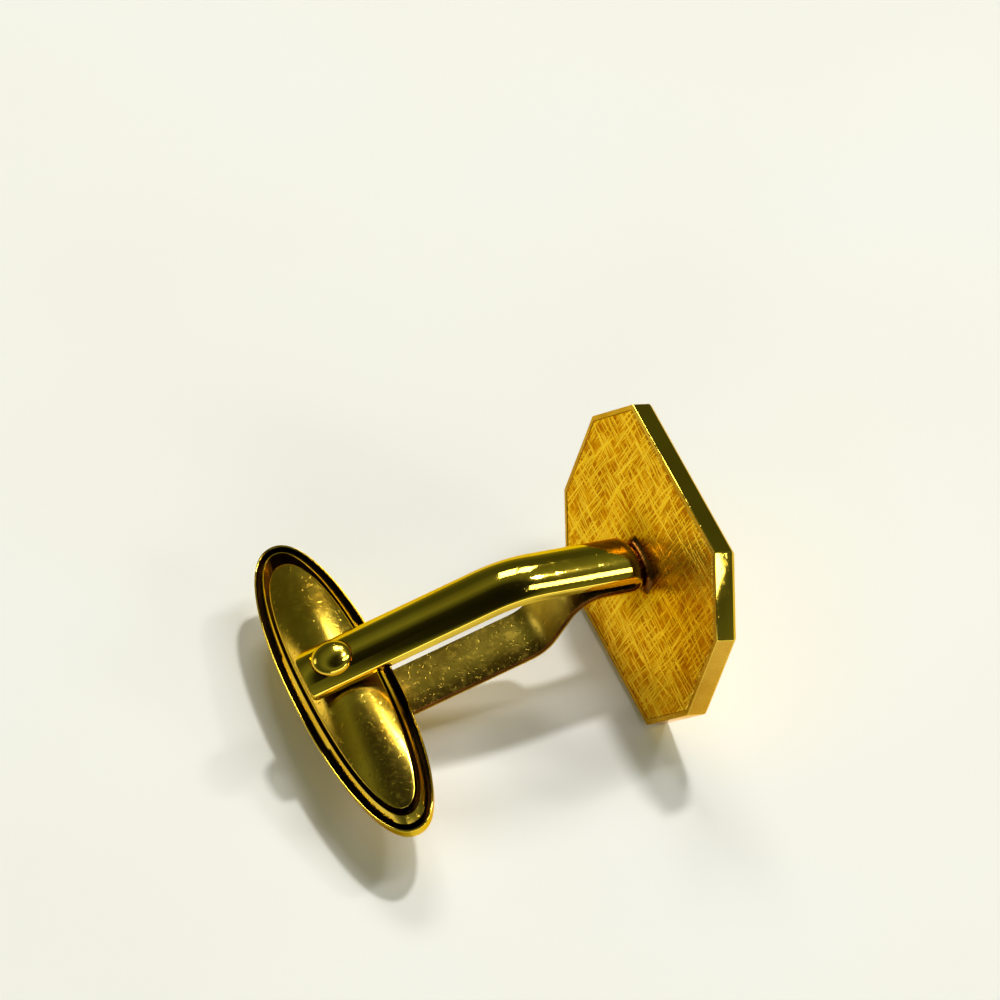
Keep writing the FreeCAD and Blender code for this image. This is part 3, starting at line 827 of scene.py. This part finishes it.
stand_in(make_head_tray(), "face_tray", "link")
stand_in(make_hatched_plate(), "back_plate", "link")
stand_in(make_solder_bead(), "solder_joint", "link")
stand_in(make_hairpin_post(), "fork_post", "link")
stand_in(make_domed_rivet(), "pivot_rivet", "link")
stand_in(make_boat_pan(), "toggle_pan", "toggle")
stand_in(make_toggle_cover(), "toggle_dome", "toggle")
# the two pieces inside the toggle keep their solids
for node_name, metal in (("pivot_sleeve", turned_brass), ("friction_spring", spring_steel)):
    inner_node = frame["nodes"][node_name]
    inner_node.data.materials.clear()
    inner_node.data.materials.append(metal)


# Floor, light and camera, in metres and degrees

FLOOR_RADIUS = 1.5
FLOOR_CLOUD_MM = 30.0
KEY_SUN = {"way": (0.41, 0.31, 0.857), "strength": 1.3, "spread": 5.0}
SIDE_SUN = {"way": (0.71, 0.05, 0.7), "strength": 0.35, "spread": 6.0}
# soft boxes as (way, width and height across as the link sees them, radiance)
SOFT_BOXES = {
    "back_window_left": ((0.166, 0.718, 0.676), 9.0, 14.0, 12.0),
    "back_window_right": ((0.326, 0.668, 0.669), 8.0, 12.0, 12.0),
    "left_card": ((-0.707, 0.649, 0.28), 14.0, 12.0, 2.0),
    "ceiling_tube": ((0.49, -0.03, 0.87), 8.0, 24.0, 9.0),
    "front_window": ((0.62, -0.66, 0.43), 8.0, 8.4, 11.0),
    "front_card": ((0.0, -0.93, 0.34), 70.0, 22.0, 1.8),
}
BOX_DISTANCE = 0.6
# the room's colours by height, from the horizon at 0 to straight up at 1
ROOM = ((0.0, "#B4B4A8"), (0.06, "#7C806C"), (0.15, "#5E6448"), (0.3, "#454B35"), (0.5, "#454B35"),
        (0.8, "#727A56"), (0.93, "#22241C"), (1.0, "#151614"))
CAMERA_AZIMUTH = -20.12
CAMERA_ELEVATION = 46.28
CAMERA_ROLL = -1.55
CAMERA_DISTANCE = 0.568
CAMERA_LENS = 432.0
CAMERA_CLIP = (0.01, 10.0)
# how far the link's origin lies to the left of the picture's middle and below it
PICTURE_LEFT = 0.00017
PICTURE_DOWN = 0.00887


def make_floor():
    """Plain white table top: matt paint with a faint cloud of tone."""
    material, tree, shader, place = new_material("matt_white_table_paint")
    shader.inputs["Metallic"].default_value = 0.0
    shader.inputs["Roughness"].default_value = 0.7
    cloud = add_node(tree, "ShaderNodeTexNoise", inputs={"Vector": place, "Scale": per_mm(FLOOR_CLOUD_MM)})
    tint = add_node(tree, "ShaderNodeValToRGB", inputs={"Fac": cloud.outputs["Fac"]},
                    stops=((0.3, "#F6F4EA"), (0.7, "#F8F6F0")))
    tree.links.new(tint.outputs["Color"], shader.inputs["Base Color"])
    bm = bmesh.new()
    bmesh.ops.create_circle(bm, cap_ends=True, segments=ROUND_SEGMENTS, radius=FLOOR_RADIUS)
    mesh = bpy.data.meshes.new("floor")
    bm.to_mesh(mesh)
    bm.free()
    mesh.materials.append(material)
    floor = bpy.data.objects.new("floor", mesh)
    bpy.context.scene.collection.objects.link(floor)


def make_sun(name, way, strength, spread):
    """Distant soft lamp."""
    lamp = bpy.data.lights.new(name, "SUN")
    lamp.energy = strength
    lamp.angle = math.radians(spread)
    sun = bpy.data.objects.new(name, lamp)
    sun.rotation_euler = Vector(way).to_track_quat("Z", "Y").to_euler()
    bpy.context.scene.collection.objects.link(sun)


def make_soft_box(name, way, width, height, radiance):
    """Rectangular soft box that faces the link, level along its width."""
    lamp = bpy.data.lights.new(name, "AREA")
    lamp.shape = "RECTANGLE"
    lamp.size, lamp.size_y = (2 * BOX_DISTANCE * math.tan(math.radians(a / 2)) for a in (width, height))
    lamp.energy = radiance * math.pi * lamp.size * lamp.size_y
    spot = Vector(way).normalized() * BOX_DISTANCE
    box = bpy.data.objects.new(name, lamp)
    box.matrix_world = Matrix.Translation(spot) @ spot.to_track_quat("Z", "Y").to_matrix().to_4x4()
    bpy.context.scene.collection.objects.link(box)


def make_room():
    """Dim room with a pale band along the horizon."""
    world = bpy.data.worlds.new("studio")
    bpy.context.scene.world = world
    world.use_nodes = True
    tree = world.node_tree
    tree.nodes.clear()
    way = add_node(tree, "ShaderNodeTexCoord").outputs["Generated"]
    height = add_node(tree, "ShaderNodeSeparateXYZ", inputs={"Vector": way}).outputs["Z"]
    ramp = add_node(tree, "ShaderNodeValToRGB", inputs={"Fac": height}, stops=ROOM)
    sky = add_node(tree, "ShaderNodeBackground", inputs={"Color": ramp.outputs["Color"], "Strength": 1.0})
    add_node(tree, "ShaderNodeOutputWorld", inputs={"Surface": sky.outputs["Background"]})


def make_camera():
    """Long lens above the toggle's near end, looking down at the hatched back."""
    azimuth, elevation = math.radians(CAMERA_AZIMUTH), math.radians(CAMERA_ELEVATION)
    back = Vector((math.cos(elevation) * math.sin(azimuth), -math.cos(elevation) * math.cos(azimuth),
                   math.sin(elevation)))
    level = Vector((math.cos(azimuth), math.sin(azimuth), 0))
    roll = math.radians(CAMERA_ROLL)
    right = level * math.cos(roll) + back.cross(level) * math.sin(roll)
    up = back.cross(right)
    data = bpy.data.cameras.new("camera")
    data.lens = CAMERA_LENS
    data.clip_start, data.clip_end = CAMERA_CLIP
    camera = bpy.data.objects.new("camera", data)
    spot = right * PICTURE_LEFT + up * PICTURE_DOWN + back * CAMERA_DISTANCE
    camera.matrix_world = Matrix.Translation(spot) @ Matrix((right, up, back)).transposed().to_4x4()
    bpy.context.scene.collection.objects.link(camera)
    bpy.context.scene.camera = camera


make_floor()
make_sun("key_sun", **KEY_SUN)
make_sun("side_sun", **SIDE_SUN)
for box_name, box_values in SOFT_BOXES.items():
    make_soft_box(box_name, *box_values)
make_room()
make_camera()
bpy.context.scene.view_settings.view_transform = "Standard"
